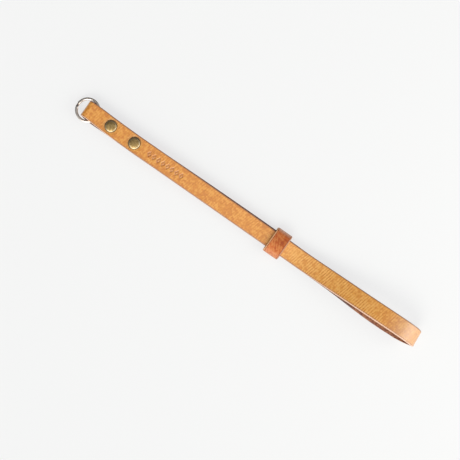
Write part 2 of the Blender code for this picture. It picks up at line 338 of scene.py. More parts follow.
# %% [markdown]
# ## The course of the strip
#
# The real strip is one piece of leather, so its course is one line: from the inner end between
# the rivets, out along the table, round the wrist loop, back on top, round the eye and under
# to the tail. It could be drawn point by point, but it follows a rule: heights rise and fall
# softly between the things that hold the strip, and the drift to the side is read from a few
# lanes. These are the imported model's own values, followed in finer steps.

# %% Sizes of the strip
STRAP_LENGTH = 228.0 * MM
STRAP_WIDTH = 10.4 * MM
LEATHER = 1.8 * MM
LAYER_GAP = 0.3 * MM
FIT_GAP = 0.3 * MM
LOOP_HEIGHT = 18.0 * MM
BEND_REACH = 11.5 * MM
SIDE_SETTLING = 1.8
ROLL_DELAY = 0.3
SETTLE_RUN = 17.0 * MM
RIVET_FROM_END = 18.5 * MM
RIVET_SPACING = 16.3 * MM
BACK_HEIGHT = 1.0 * MM
INNER_END_SETBACK = 6.0 * MM
TAIL_OVERRUN = 6.0 * MM
STACK_RUN = 8.0 * MM
KEEPER_FROM_END = 133.4 * MM
KEEPER_ALONG = 9.7 * MM
KEEPER_WALL = 1.8 * MM
KEEPER_EASE = 2.5 * MM

# %% Lanes of the strip
# Along and side are shares of the strip's length and width, roll is in degrees with the near
# edge up, and width is the share of the full width. Most lanes are level and of full width.
Lane = namedtuple("Lane", "along side roll width", defaults=(0, 1.00))
RIVET_LANES = (
    Lane(0.081, -0.096),
    Lane(0.152, -0.123),
    Lane(0.200, -0.121),
)
TAIL_LANES = (
    Lane(0.000, -0.080, 0, 0.95),
    Lane(0.024, -0.105, 0, 0.99),
    Lane(0.048, -0.108),
) + RIVET_LANES
UPPER_LANES = (
    Lane(0.000, -0.033, 0, 0.95),
    Lane(0.010, -0.037, 0, 0.97),
    Lane(0.024, -0.045, 0, 0.98),
    Lane(0.048, -0.066),
) + RIVET_LANES + (
    Lane(0.350, -0.118),
    Lane(0.560, -0.121),
    Lane(0.610, -0.121),
    Lane(0.680, -0.124, 2, 1.00),
    Lane(0.750, -0.112, 8, 1.01),
    Lane(0.847, -0.086, 14, 1.01),
    Lane(0.944, -0.049, 15, 1.01),
    Lane(1.000, -0.041, 13, 1.00),
)
LOWER_LANES = RIVET_LANES + (
    Lane(0.350, -0.080),
    Lane(0.480, -0.063),
    Lane(0.560, -0.068),
    Lane(0.610, -0.095),
    Lane(0.700, -0.125),
    Lane(0.766, -0.155),
    Lane(0.867, -0.250),
    Lane(0.919, -0.250),
    Lane(0.950, -0.222),
    Lane(1.000, -0.190),
)


def ease(start, end, share):
    share = min(max(share, 0), 1)
    return start + (end - start) * share * share * (3 - 2 * share)


def lane_at(lanes, along):
    """Read a lane table at a distance from the folded end, on smooth curves through its rows."""
    share = min(max(along / STRAP_LENGTH, lanes[0].along), lanes[-1].along)
    index = next(i for i in range(len(lanes) - 1) if share <= lanes[i + 1].along)
    start, end = lanes[index], lanes[index + 1]
    before = lanes[max(index - 1, 0)]
    after = lanes[min(index + 2, len(lanes) - 1)]
    span = end.along - start.along
    t = (share - start.along) / span
    values = []
    for a, b, c, d in zip(before[1:], start[1:], end[1:], after[1:]):
        slope_b = (c - a) / (end.along - before.along) * span
        slope_c = (d - b) / (after.along - start.along) * span
        values.append(
            (2 * t**3 - 3 * t**2 + 1) * b + (t**3 - 2 * t**2 + t) * slope_b
            + (3 * t**2 - 2 * t**3) * c + (t**3 - t**2) * slope_c
        )
    return Lane(along, *values)


def mix_lanes(start, end, share):
    return Lane(start.along, *(ease(a, b, share) for a, b in zip(start[1:], end[1:])))


def bend_lane(lower, upper, share):
    """In the loop's round end the side settles early and the roll late."""
    lane = mix_lanes(lower, upper, SIDE_SETTLING * share)
    return lane._replace(roll=ease(lower.roll, upper.roll, (share - ROLL_DELAY) / (1 - ROLL_DELAY)))


# %% Heights of the strip
TAIL_Z = BACK_HEIGHT + FIT_GAP + LEATHER / 2
INNER_Z = TAIL_Z + LEATHER + LAYER_GAP
STACK_TOP_Z = INNER_Z + LEATHER + LAYER_GAP
TABLE_Z = LEATHER / 2
KEEPER_LOWER_Z = KEEPER_WALL + FIT_GAP + LEATHER / 2
KEEPER_UPPER_Z = KEEPER_LOWER_Z + LEATHER + LAYER_GAP
LOOP_TOP_Z = LOOP_HEIGHT - LEATHER / 2

RIVET_PLACES = (RIVET_FROM_END, RIVET_FROM_END + RIVET_SPACING)
INNER_END = RIVET_PLACES[0] - INNER_END_SETBACK
TAIL_END = RIVET_PLACES[1] + TAIL_OVERRUN
STACK_END = RIVET_PLACES[1] + STACK_RUN
KEEPER_START = KEEPER_FROM_END - KEEPER_ALONG / 2 - KEEPER_EASE
KEEPER_END = KEEPER_FROM_END + KEEPER_ALONG / 2 + KEEPER_EASE
FOLD_RADIUS = (STACK_TOP_Z - TAIL_Z) / 2
FOLD_PLACE = FOLD_RADIUS + LEATHER / 2
BEND_PLACE = STRAP_LENGTH - LEATHER / 2 - BEND_REACH


def lower_height(along):
    """Off the rivets, through the keeper, then down on the table."""
    if along < KEEPER_END:
        return ease(INNER_Z, KEEPER_LOWER_Z, (along - STACK_END) / (KEEPER_START - STACK_END))
    return ease(KEEPER_LOWER_Z, TABLE_Z, (along - KEEPER_END) / SETTLE_RUN)


def upper_height(along):
    """Off the rivets, through the keeper, then up over the wrist loop."""
    if along < KEEPER_END:
        share = (along - STACK_END) / (KEEPER_START - STACK_END)
        return ease(STACK_TOP_Z, KEEPER_UPPER_Z, share)
    return ease(KEEPER_UPPER_Z, LOOP_TOP_Z, (along - KEEPER_END) / (BEND_PLACE - KEEPER_END))


def side_at(along):
    return lane_at(UPPER_LANES, along).side * STRAP_WIDTH


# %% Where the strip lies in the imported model
rivet_low, rivet_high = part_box("rivet_1_cap")
MIDDLE_ALONG = RIVET_PLACES[0] - (rivet_low[0] + rivet_high[0]) / 2
MIDDLE_SIDE = side_at(RIVET_PLACES[0]) - (rivet_low[1] + rivet_high[1]) / 2
print("folded end at x in mm:", round(-MIDDLE_ALONG / MM, 2))

# %% Stations of the strip
LOWER_STEP = 0.7 * MM
UPPER_STEP = 0.45 * MM
FINE_STEP = 0.28 * MM
FINE_END = 76 * MM
BEND_STEPS = 72
FOLD_STEPS = 26

# The strip's middle line at one place, with its lane, the way that its grain side faces, how
# much the grain creases there, which also paints it paler as painted light, the burnish of the cut
# edges, which on the lower layer and the tail is painted shade between the layers, and how much
# the grain and flesh sides swell against neighbours.
Station = namedtuple("Station", "along height lane normal creased burnished grain_swell flesh_swell")
UP = Vector((0, 0, 1))
DOWN = Vector((0, 0, -1))
SWELL = LAYER_GAP / LEATHER
TIP_NARROWING = 0.07
# Painted shade on the lower layer's cut edges and flesh side, where it lies under the upper layer.
LOWER_RUB_AND_SHADE = 0.85


def between(start, end, step):
    """Evenly spaced values from start to end, about a step apart, without the end."""
    count = max(round(abs(end - start) / step), 1)
    return [start + (end - start) * i / count for i in range(count)]


def stack_swell(along):
    """1 where the layers are pressed together by the rivets, 0 in the eye and past the stack."""
    entry = ease(0, 1, (along - INNER_END + 0.6 * MM) / (2 * MM))
    return entry * ease(1, 0, (along - TAIL_END) / (8 * MM))


def hump(along, start, full, fading, end):
    """0 up to start, 1 from full to fading, and 0 again from end on, with places in mm."""
    rising = ease(0, 1, (along / MM - start) / (full - start))
    return rising * ease(1, 0, (along / MM - fading) / (end - fading))


def crease_at(along):
    """Creasing of the upper layer, most just past the keeper, where the loop opens and closes."""
    return 0.35 + 0.65 * hump(along, 132, 144, 186, 220)


def narrow_at_tip(lane, tip):
    """Leather that is drawn round a tight bend narrows, here on its far side."""
    loss = TIP_NARROWING * tip**6
    return lane._replace(width=lane.width - loss, side=lane.side - loss / 2)


def stretch_and_sheen_at(along):
    """Stretched grain is paler where the strap goes round the loop's end, partly as painted sheen."""
    return 0.5 * ease(0, 1, (along / MM - 203) / 19)


def burnish_at(along):
    """The upper layer's edges get a brown burnish between the eye and the loop, and are raw
    elsewhere.
    """
    return 0.7 * hump(along, 16, 28, 150, 170)


def strip_stations():
    """Follow the strip from its inner end, round the wrist loop and the eye, to its tail."""
    for along in between(INNER_END, BEND_PLACE, LOWER_STEP):
        swell = SWELL * stack_swell(along)
        lane = lane_at(LOWER_LANES, along)
        # Painted shade under the upper layer, a little less towards the loop.
        rubbed = ease(1, LOWER_RUB_AND_SHADE, (along / MM - 182) / 14)
        yield Station(along, lower_height(along), lane, DOWN, 0.4, rubbed, swell, swell)

    lower, upper = lane_at(LOWER_LANES, BEND_PLACE), lane_at(UPPER_LANES, BEND_PLACE)
    half_height = (LOOP_TOP_Z - TABLE_Z) / 2
    for step in range(BEND_STEPS + 1):
        angle = math.pi * step / BEND_STEPS
        along = BEND_PLACE + BEND_REACH * math.sin(angle)
        height = TABLE_Z + half_height * (1 - math.cos(angle))
        normal = Vector((math.sin(angle) * half_height, 0, -math.cos(angle) * BEND_REACH))
        lane = bend_lane(lower, upper, step / BEND_STEPS)
        lane = narrow_at_tip(lane, math.sin(angle))
        # The painted shade fades out round the loop's end.
        rubbed = ease(LOWER_RUB_AND_SHADE, 0, 2.5 * step / BEND_STEPS)
        yield Station(along, height, lane, normal.normalized(), 0.3, rubbed, 0, 0)

    upper_places = between(BEND_PLACE, FINE_END, UPPER_STEP)[1:]
    upper_places += between(FINE_END, FOLD_PLACE, FINE_STEP)
    for along in upper_places:
        swell = SWELL * stack_swell(along)
        lane = lane_at(UPPER_LANES, along)
        creased, burnished = crease_at(along), burnish_at(along)
        yield Station(along, upper_height(along), lane, UP, creased, burnished, 0, swell)

    for step in range(FOLD_STEPS + 1):
        angle = math.pi * step / FOLD_STEPS
        along = FOLD_PLACE - FOLD_RADIUS * math.sin(angle)
        height = TAIL_Z + FOLD_RADIUS * (1 + math.cos(angle))
        normal = Vector((-math.sin(angle), 0, math.cos(angle)))
        lane = mix_lanes(lane_at(UPPER_LANES, along), lane_at(TAIL_LANES, along), step / FOLD_STEPS)
        yield Station(along, height, lane, normal, 0.5, 0, 0, 0)

    for along in between(TAIL_END, FOLD_PLACE, FINE_STEP * 1.6)[::-1]:
        swell = SWELL * stack_swell(along)
        lane = lane_at(TAIL_LANES, along)
        # The tail gets full painted shade on its cut edges and flesh side.
        yield Station(along, TAIL_Z, lane, DOWN, 0.35, 1, 0, swell)


# %% Path mesh of the strip
def set_values(mesh, name, kind, values):
    """Keep a value or a direction with each point of a mesh, under a name."""
    attribute = mesh.attributes.new(name, kind, "POINT")
    if kind == "FLOAT":
        attribute.data.foreach_set("value", values)
    else:
        attribute.data.foreach_set("vector", [number for vector in values for number in vector])


def build_strip_path():
    """The middle line, with the ways that the strip's width and its grain side point."""
    stations = list(strip_stations())
    middles, widths, faces = [], [], []
    for station in stations:
        roll = math.radians(station.lane.roll)
        side = station.lane.side * STRAP_WIDTH - MIDDLE_SIDE
        middles.append((station.along - MIDDLE_ALONG, side, station.height))
        across = Vector((0, math.cos(roll), 0)) - station.normal * math.sin(roll)
        widths.append(across * station.lane.width)
        faces.append(station.normal * math.cos(roll) + Vector((0, math.sin(roll), 0)))
    mesh = drawing("strip_path", middles)
    set_values(mesh, "width_way", "FLOAT_VECTOR", widths)
    set_values(mesh, "face_way", "FLOAT_VECTOR", faces)
    for name in ("creased", "burnished", "grain_swell", "flesh_swell"):
        set_values(mesh, name, "FLOAT", [getattr(station, name) for station in stations])
    set_values(mesh, "bent", "FLOAT", [stretch_and_sheen_at(station.along) for station in stations])
    return mesh


strip_path = build_strip_path()
print("stations of the strip:", len(strip_path.vertices))

# %% [markdown]
# ## The section of the leather
#
# Cut through, the strap is a flat bar with rounded corners, as if its edges had been run
# through an edge beveller and rubbed smooth. Each point of the section becomes a line along the
# whole strap, so the grain side gets the most points: the stamped marks are modelled there.

# %% Leather section
EDGE_ROUND = 0.42 * MM


def leather_outline(width, thickness, round_over, grain_columns, flesh_columns):
    """Outline of a strip that is cut through, with x across it and y towards its grain side."""
    side, top = width / 2 - round_over, thickness / 2 - round_over
    corners = []
    for x, y, start in ((side, top, 0), (-side, top, 90), (-side, -top, 180), (side, -top, 270)):
        angles = [math.radians(start + 90 * step / 4) for step in range(5)]
        corners.append([(x + round_over * math.cos(a), y + round_over * math.sin(a)) for a in angles])
    outline = []
    for corner, following, count in zip(
        corners, corners[1:] + corners[:1], (grain_columns, 3, flesh_columns, 3)
    ):
        outline += corner
        (x0, y0), (x1, y1) = corner[-1], following[0]
        outline += [(x0 + (x1 - x0) * i / count, y0 + (y1 - y0) * i / count) for i in range(1, count)]
    return outline


strip_outline = leather_outline(STRAP_WIDTH, LEATHER, EDGE_ROUND, 32, 10)
strip_section = draw_section("strip_section", strip_outline)
print("points round the section:", len(strip_outline))

# %% [markdown]
# ## Sweeping leather
#
# Curve to Mesh joins the sections along the path. It would also turn them by itself, but a
# strip that is folded, rolled and twisted needs its own directions, so each point is then put
# in place from what its path and its section remember. The same step keeps `flat_place`: where
# the point was on the flat strip, as length, width and depth. The finish is painted on that
# flat strip, so the grain runs round the folds as it does on real leather.

# %% Leather sweep
def read_value(tree, name, kind="FLOAT"):
    return put(tree, "GeometryNodeInputNamedAttribute", {"Name": name}, data_type=kind).outputs[0]


def read_way(tree, name):
    return read_value(tree, name, "FLOAT_VECTOR")


def keep_value(tree, geometry, name, value, kind="FLOAT"):
    inputs = {"Geometry": geometry, "Name": name, "Value": value}
    return put(tree, "GeometryNodeStoreNamedAttribute", inputs, data_type=kind, domain="POINT")


def keep_way(tree, geometry, name, way):
    return keep_value(tree, geometry, name, way, "FLOAT_VECTOR")


def keep_course(tree, path):
    """Each point of a path remembers how far along the path it is."""
    course = put(tree, "GeometryNodeSplineParameter").outputs["Length"]
    return keep_value(tree, path, "course", course)


def drawn_curve(tree, thing):
    """The line that is drawn in another object, as a curve."""
    drawn = put(tree, "GeometryNodeObjectInfo", {"Object": thing}).outputs["Geometry"]
    return put(tree, "GeometryNodeMeshToCurve", {0: drawn})


def sweep_leather(tree, path, section):
    """Sweep a section along a path that knows its width_way and face_way."""
    path = keep_way(tree, path, "middle", position(tree))
    path = keep_course(tree, path)
    section = keep_way(tree, section, "cut", position(tree))
    curves = {"Curve": path, "Profile Curve": section, "Fill Caps": True}
    swept = put(tree, "GeometryNodeCurveToMesh", curves)
    cut = split(tree, read_way(tree, "cut"))
    grain = calc(tree, "GREATER_THAN", cut["Y"], 0.0)
    swell = mix_value(tree, grain, read_value(tree, "flesh_swell"), read_value(tree, "grain_swell"))
    depth = times(tree, cut["Y"], plus(tree, swell, 1.0))
    outwards = stretch(tree, read_way(tree, "width_way"), cut["X"])
    upwards = stretch(tree, read_way(tree, "face_way"), depth)
    offset = vector_calc(tree, "ADD", outwards, upwards)
    place = vector_calc(tree, "ADD", read_way(tree, "middle"), offset)
    placed = put(tree, "GeometryNodeSetPosition", {"Geometry": swept, "Position": place})
    flat = combine(tree, read_value(tree, "course"), cut["X"], cut["Y"])
    return keep_way(tree, placed, "flat_place", flat)


# %% [markdown]
# ## Stamped marks and dished leather
#
# Just past the rivets a row of lozenges is stamped into the grain, without ink. A stamp crushes
# the leather, so each mark is a sunken outline with its middle left standing. The rivets press
# the leather down round their caps as well. Both could be a bump in the material, but they are
# deep enough to catch the light from the side, so they are modelled.

# %% Strap tree
def stamp_field(tree, sizes):
    """How deep the row of lozenges is at each point of the grain side, from 0 to 1."""
    flat = split(tree, read_way(tree, "flat_place"))
    run = minus(tree, flat["X"], sizes["Stamp Start"])
    run = calc(tree, "DIVIDE", run, sizes["Stamp Pitch"])
    before_end = calc(tree, "LESS_THAN", run, sizes["Stamp Count"])
    in_row = times(tree, calc(tree, "GREATER_THAN", run, 0.0), before_end)
    along = calc(tree, "ABSOLUTE", minus(tree, calc(tree, "FRACT", run), 0.5))
    across = calc(tree, "ABSOLUTE", minus(tree, flat["Y"], sizes["Stamp Side"]))
    across = calc(tree, "DIVIDE", across, times(tree, sizes["Stamp Height"], 0.5))
    lozenge = plus(tree, times(tree, along, 2.35), across)
    sunken = rise(tree, lozenge, 1.10, 0.86)
    standing = rise(tree, lozenge, 0.60, 0.34)
    outline = minus(tree, sunken, times(tree, standing, 0.8))
    grain = calc(tree, "GREATER_THAN", flat["Z"], 0.0)
    return times(tree, times(tree, outline, in_row), grain)


def rivet_distance(tree, spot):
    """Distance of each point from a rivet's upright axis."""
    away = vector_calc(tree, "SUBTRACT", position(tree), spot)
    level = vector_calc(tree, "MULTIPLY", away, (1, 1, 0))
    return vector_calc(tree, "LENGTH", level).outputs["Value"]


def build_strap_tree(sizes):
    tree, inputs = new_tree("strap_sweep", sizes)
    path = put(tree, "GeometryNodeMeshToCurve", {0: inputs["Geometry"]})
    strap = sweep_leather(tree, path, drawn_curve(tree, inputs["Section"]))

    distances = [rivet_distance(tree, inputs[name]) for name in ("Rivet 1", "Rivet 2")]
    nearest = calc(tree, "MINIMUM", *distances)
    rim = inputs["Rivet Radius"]
    pressed = rise(tree, nearest, plus(tree, rim, inputs["Dish Width"]), rim)
    flat = split(tree, read_way(tree, "flat_place"))
    pressed = times(tree, pressed, calc(tree, "GREATER_THAN", flat["Z"], 0.0))
    strap = keep_value(tree, strap, "stamped", stamp_field(tree, inputs))
    strap = keep_value(tree, strap, "pressed", pressed)

    stamp_sink = times(tree, read_value(tree, "stamped"), inputs["Stamp Depth"])
    dish_sink = times(tree, read_value(tree, "pressed"), inputs["Dish Depth"])
    sink = plus(tree, stamp_sink, dish_sink)
    inwards = stretch(tree, read_way(tree, "face_way"), times(tree, sink, -1.0))
    strap = put(tree, "GeometryNodeSetPosition", {"Geometry": strap, "Offset": inwards})
    end_tree(tree, strap, inputs["Leather"])
    return tree


# %% [markdown]
# ## Vegetable-tanned leather
#
# The strap is golden tan on its grain side: cloudy, with pores, and with fine creases across it
# where the loop bends. Its edges are rubbed brown, the cut itself is paler and fibrous, and the
# flesh side is a dark suede. An image could be painted for this, but everything follows from
# where a point was on the flat strip, so one tree of textures covers all sides of both leathers.
# The grain's colour is a list of coats, and each lies over the one before. Some colours are
# painted light and shade: a painted sheen where the leather turns towards the light, painted shade
# on the far cut edges and where the layers lie against each other, and on the keeper a near side
# painted paler and a far side painted darker.

# %% Leather finish
# deep, middle and pale are the grain's tones, and amber its warm patches. fresh tints
# what is little worn, and on the keeper it is painted shade on the far side. bent is
# stretched grain and partly a painted sheen where leather turns towards the light, and stamped is
# the bottom of the marks. cut is the cut edge on the near side, and far_cut is painted
# shade on the far cut edge and the dark brown of strongly browned cut edges. rubbed is
# the brown of burnishing, which also paints shade on cut edges that lie under other layers, and
# flesh is the suede side.
# WAVE_CYCLE is how far apart the bands of a wave texture are when its scale is 1.
LeatherColors = namedtuple(
    "LeatherColors", "deep middle pale amber fresh rubbed cut far_cut flesh stamped bent"
)
# Painted shade for the flesh side where it lies against another layer.
FLESH_SHADE_TINT = (0.42, 0.36, 0.36, 1)
PORE_SPACING = 0.55 * MM
FOLD_SPACING = 1.35 * MM
WAVE_CYCLE = 0.314


def point_value(tree, name):
    return put(tree, "ShaderNodeAttribute", attribute_name=name).outputs["Fac"]


def noise(tree, place, size, detail=2.0):
    """Soft noise whose blotches are about one size across."""
    inputs = {"Vector": place, "Scale": 1 / size, "Detail": detail}
    return put(tree, "ShaderNodeTexNoise", inputs).outputs[0]


def bump(tree, height, strength, distance):
    return put(tree, "ShaderNodeBump", {"Height": height, "Strength": strength, "Distance": distance})


def leather_finish(name, colors, width, thickness, round_over, lean, fold_tone, shine):
    """Leather on a flat strip: grain, cut edges and flesh side, each where it is on the strip."""
    material, tree = new_material(name)
    place = put(tree, "ShaderNodeAttribute", attribute_name="flat_place").outputs["Vector"]
    flat = split(tree, place)

    clouds = noise(tree, place, 6 * MM, 3.0)
    amber = noise(tree, vector_calc(tree, "ADD", place, (0.3, 0.1, 0.2)), 2.4 * MM, 3.0)
    mottle = noise(tree, place, 1.5 * MM, 4.0)
    fibres = noise(tree, place, 0.35 * MM, 3.0)
    turned = (0, 0, math.radians(lean))
    leaning = put(tree, "ShaderNodeMapping", {"Vector": place, "Rotation": turned})
    waves = {"Vector": leaning, "Scale": WAVE_CYCLE / FOLD_SPACING, "Distortion": 3.0}
    waves.update({"Detail": 3.0, "Detail Scale": 0.7})
    folds = put(tree, "ShaderNodeTexWave", waves).outputs["Fac"]
    crease_and_light_level = point_value(tree, "creased")
    creased = times(tree, crease_and_light_level, rise(tree, noise(tree, place, 6 * MM), 0.30, 0.62))
    cells = put(tree, "ShaderNodeTexVoronoi", {"Vector": place, "Scale": 1 / PORE_SPACING})
    pores = cells.outputs["Distance"]

    uneven = minus(tree, mottle, 0.5)
    tone = plus(tree, mix_value(tree, 0.45, 0.5, clouds), times(tree, uneven, 1.7))
    ridge = times(tree, minus(tree, folds, 0.5), creased)
    tone = plus(tree, tone, times(tree, ridge, fold_tone))
    # Painted light: where this value is high the grain is made paler, on the strap's loop and on the
    # keeper's near side.
    tone = plus(tree, tone, times(tree, crease_and_light_level, 0.15))
    reach = calc(tree, "ABSOLUTE", flat["Y"])
    wander = times(tree, uneven, 0.5 * MM)
    bend = width / 2 - round_over
    rub = rise(tree, plus(tree, reach, wander), bend - 0.55 * MM, bend - 0.10 * MM)
    coats = (
        (rise(tree, tone, 0.28, 0.52), colors.middle),
        (rise(tree, tone, 0.50, 0.76), colors.pale),
        (times(tree, rise(tree, amber, 0.48, 0.70), 0.32), colors.amber),
        # On the keeper this tint is painted shade on its far side.
        (rise(tree, crease_and_light_level, 0.90, 0.35), colors.fresh, "MULTIPLY"),
        # Partly a painted sheen where the leather turns towards the light.
        (point_value(tree, "bent"), colors.bent),
        (times(tree, point_value(tree, "pressed"), 0.55), colors.pale),
        (calc(tree, "MULTIPLY", point_value(tree, "stamped"), 0.6, clamp=True), colors.stamped),
        (times(tree, rub, 0.75), colors.rubbed),
    )
    grain_color = colors.deep
    for share, *coat in coats:
        grain_color = mix_color(tree, share, grain_color, *coat)

    cut = rise(tree, reach, bend, bend + 0.12 * MM)
    # Painted shade: the cut edge on the section's far side gets a darker colour than the near one.
    far_side = calc(tree, "GREATER_THAN", flat["Y"], 0.0)
    cut_color = mix_color(tree, far_side, colors.cut, colors.far_cut)
    burnished = point_value(tree, "burnished")
    browned = calc(tree, "MAXIMUM", rise(tree, fibres, 0.48, 0.85), burnished)
    cut_color = mix_color(tree, browned, cut_color, colors.rubbed)
    # Strongly browned cut edges, including those painted as shade under other layers, take the same
    # dark colour.
    cut_color = mix_color(tree, rise(tree, browned, 0.60, 0.85), cut_color, colors.far_cut)
    color = mix_color(tree, cut, grain_color, cut_color)
    flesh = rise(tree, flat["Z"], 0.55 * MM - thickness / 2, 0.30 * MM - thickness / 2)
    nap = plus(tree, times(tree, mottle, 0.7), times(tree, fibres, 0.3))
    flesh_color = mix_color(tree, rise(tree, nap, 0.42, 0.60), colors.flesh, colors.rubbed)
    # Painted shade: the flesh side is darkened where it lies against another layer.
    flesh_color = mix_color(tree, rise(tree, burnished, 0.86, 1.0), flesh_color, FLESH_SHADE_TINT, "MULTIPLY")
    color = mix_color(tree, flesh, color, flesh_color)

    gloss = mix_value(tree, mottle, 0.36, 0.54)
    rough = mix_value(tree, calc(tree, "MAXIMUM", flesh, times(tree, cut, 0.6)), gloss, 0.95)
    grain_height = times(tree, pores, 0.5)
    grain_height = plus(tree, grain_height, times(tree, ridge, 1.1))
    grain_height = plus(tree, grain_height, times(tree, fibres, 0.35))
    height = mix_value(tree, flesh, grain_height, times(tree, fibres, 2.2))
    return shade(material, {
        "Base Color": color, "Roughness": rough, "Specular IOR Level": shine, "Coat Weight": shine,
        "Coat Roughness": 0.36, "Normal": bump(tree, height, 0.6, 0.12 * MM),
    })


TAN = LeatherColors(
    deep=(0.58, 0.218, 0.024, 1),
    middle=(0.66, 0.266, 0.030, 1),
    pale=(0.77, 0.378, 0.078, 1),
    amber=(0.67, 0.300, 0.022, 1),
    fresh=(0.95, 0.850, 0.600, 1),
    rubbed=(0.34, 0.120, 0.035, 1),
    cut=(0.72, 0.440, 0.280, 1),
    far_cut=(0.22, 0.085, 0.035, 1),
    flesh=(0.17, 0.032, 0.003, 1),
    stamped=(0.32, 0.112, 0.042, 1),
    bent=(0.60, 0.385, 0.215, 1),
)
tan_leather = leather_finish("tan_leather", TAN, STRAP_WIDTH, LEATHER, EDGE_ROUND, -15, 0.72, 0.8)

# %% Make the strap
RIVET_CAP = 7.1 * MM
STAMP_START_PLACE = 68.6 * MM


def upper_course(along):
    """Length of the strip from its inner end to a place on its upper layer."""
    total, last = 0.0, None
    for vertex in strip_path.vertices:
        if last is not None:
            total += (vertex.co - last.co).length
            if last.co.x > along - MIDDLE_ALONG >= vertex.co.x:
                return total
        last = vertex
    raise ValueError("no such place on the upper layer")


rivet_spots = [
    Vector((place - MIDDLE_ALONG, side_at(place) - MIDDLE_SIDE, 0)) for place in RIVET_PLACES
]
strap_sizes = {
    "Section": strip_section,
    "Rivet 1": tuple(rivet_spots[0]),
    "Rivet 2": tuple(rivet_spots[1]),
    "Rivet Radius": RIVET_CAP / 2,
    "Dish Width": 1.5 * MM,
    "Dish Depth": 0.14 * MM,
    "Stamp Start": upper_course(STAMP_START_PLACE),
    "Stamp Pitch": 3.1 * MM,
    "Stamp Count": 8.0,
    "Stamp Height": 3.8 * MM,
    "Stamp Side": -0.15 * MM,
    "Stamp Depth": 0.22 * MM,
    "Leather": tan_leather,
}
strap = run_tree(build_strap_tree(strap_sizes), strap_sizes, strip_path, "strap_leather", 40)
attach(strap, "strap_body")
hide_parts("strap")

# %% [markdown]
# ## The keeper
#
# A short band of redder leather goes round both layers and keeps them together. Its path is a
# rectangle with round corners that stands across the strap, and its top is a little crowned,
# because leather that is bent round something never lies quite flat. The corners and the even
# steps are nodes of their own, so the whole path is made in the tree.

# %% Keeper tree
def build_keeper_tree(sizes):
    tree, inputs = new_tree("keeper_sweep", sizes)
    size = {"Width": inputs["Width"], "Height": inputs["Height"]}
    box = put(tree, "GeometryNodeCurvePrimitiveQuadrilateral", size)
    corners = {"Curve": box, "Radius": inputs["Corner"], "Count": 8}
    rounded = put(tree, "GeometryNodeFilletCurve", corners, mode="POLY")
    steps = {"Curve": rounded, "Length": inputs["Step"]}
    even = put(tree, "GeometryNodeResampleCurve", steps, mode="LENGTH")
    flat = split(tree, position(tree))
    across = calc(tree, "DIVIDE", flat["X"], times(tree, inputs["Width"], 0.5))
    arch = minus(tree, 1.0, times(tree, across, across))
    on_top = calc(tree, "GREATER_THAN", flat["Y"], 0.0)
    lift = times(tree, times(tree, arch, on_top), inputs["Crown"])
    upright = combine(tree, y=flat["X"], z=plus(tree, flat["Y"], lift))
    place = vector_calc(tree, "ADD", upright, inputs["Place"])
    bend_start = inputs["Bend Start"]
    # Painted sheen: where the band turns over it is painted paler, most at its far end.
    turning = rise(tree, calc(tree, "ABSOLUTE", across), bend_start, plus(tree, bend_start, 0.22))
    bent = times(tree, turning, mix_value(tree, rise(tree, across, -1.0, 1.0), 0.40, 0.95))
    even = keep_value(tree, even, "bent", bent)
    # Painted light across the keeper: its near side is made paler and its far side darker.
    light_across = mix_value(tree, rise(tree, across, -0.7, 0.6), 0.80, 0.25)
    even = keep_value(tree, even, "creased", light_across)
    path = put(tree, "GeometryNodeSetPosition", {"Geometry": even, "Position": place})
    tangent = put(tree, "GeometryNodeInputTangent")
    facing = vector_calc(tree, "CROSS_PRODUCT", tangent, (1, 0, 0))
    path = keep_way(tree, path, "width_way", (1, 0, 0))
    path = keep_way(tree, path, "face_way", facing)
    keeper = sweep_leather(tree, path, drawn_curve(tree, inputs["Section"]))
    end_tree(tree, keeper, inputs["Leather"])
    return tree


# %% Make the keeper
RED_BROWN = LeatherColors(
    deep=(0.41, 0.077, 0.006, 1),
    middle=(0.53, 0.122, 0.012, 1),
    pale=(0.62, 0.205, 0.044, 1),
    amber=(0.50, 0.104, 0.026, 1),
    fresh=(0.76, 0.720, 0.700, 1),
    rubbed=(0.26, 0.050, 0.010, 1),
    cut=(0.80, 0.450, 0.220, 1),
    far_cut=(0.44, 0.225, 0.125, 1),
    flesh=(0.30, 0.098, 0.045, 1),
    stamped=(0.30, 0.080, 0.030, 1),
    bent=(0.56, 0.290, 0.185, 1),
)
KEEPER_ACROSS = 15.9 * MM
KEEPER_CORNER = 3.0 * MM
KEEPER_BEVEL = 0.65 * MM
KEEPER_SNUG = 0.2 * MM

keeper_wall = KEEPER_WALL + KEEPER_SNUG
keeper_low, keeper_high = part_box("keeper")
keeper_middle = [(low + high) / 2 for low, high in zip(keeper_low, keeper_high)]
keeper_outline = leather_outline(KEEPER_ALONG, keeper_wall, KEEPER_BEVEL, 26, 8)
keeper_section = draw_section("keeper_section", keeper_outline)
red_brown_leather = leather_finish(
    "red_brown_leather", RED_BROWN, KEEPER_ALONG, keeper_wall, KEEPER_BEVEL, 60, 0.38, 0.3
)
keeper_sizes = {
    "Section": keeper_section,
    "Width": KEEPER_ACROSS - keeper_wall,
    "Height": keeper_high[2] - keeper_low[2] - keeper_wall,
    "Corner": KEEPER_CORNER - keeper_wall / 2,
    "Crown": 0.55 * MM,
    "Bend Start": 0.74,
    "Step": 0.4 * MM,
    "Place": tuple(keeper_middle),
    "Leather": red_brown_leather,
}
empty_mesh = bpy.data.meshes.new("keeper_start")
keeper = run_tree(build_keeper_tree(keeper_sizes), keeper_sizes, empty_mesh, "keeper_leather", 40)
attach(keeper, "strap_body")
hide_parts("keeper")

# %% [markdown]
# ## The rivets
#
# Each rivet is a domed cap on top and a flat back below, pressed together through the leather.
# Both are turned shapes. A lathe can be made from Curve to Mesh as well: the profile is swept
# round a circle of the cap's own radius, so that a point of the profile at the axis lands in
# the middle. One cap and one back are made, and the tree sets them on both places.

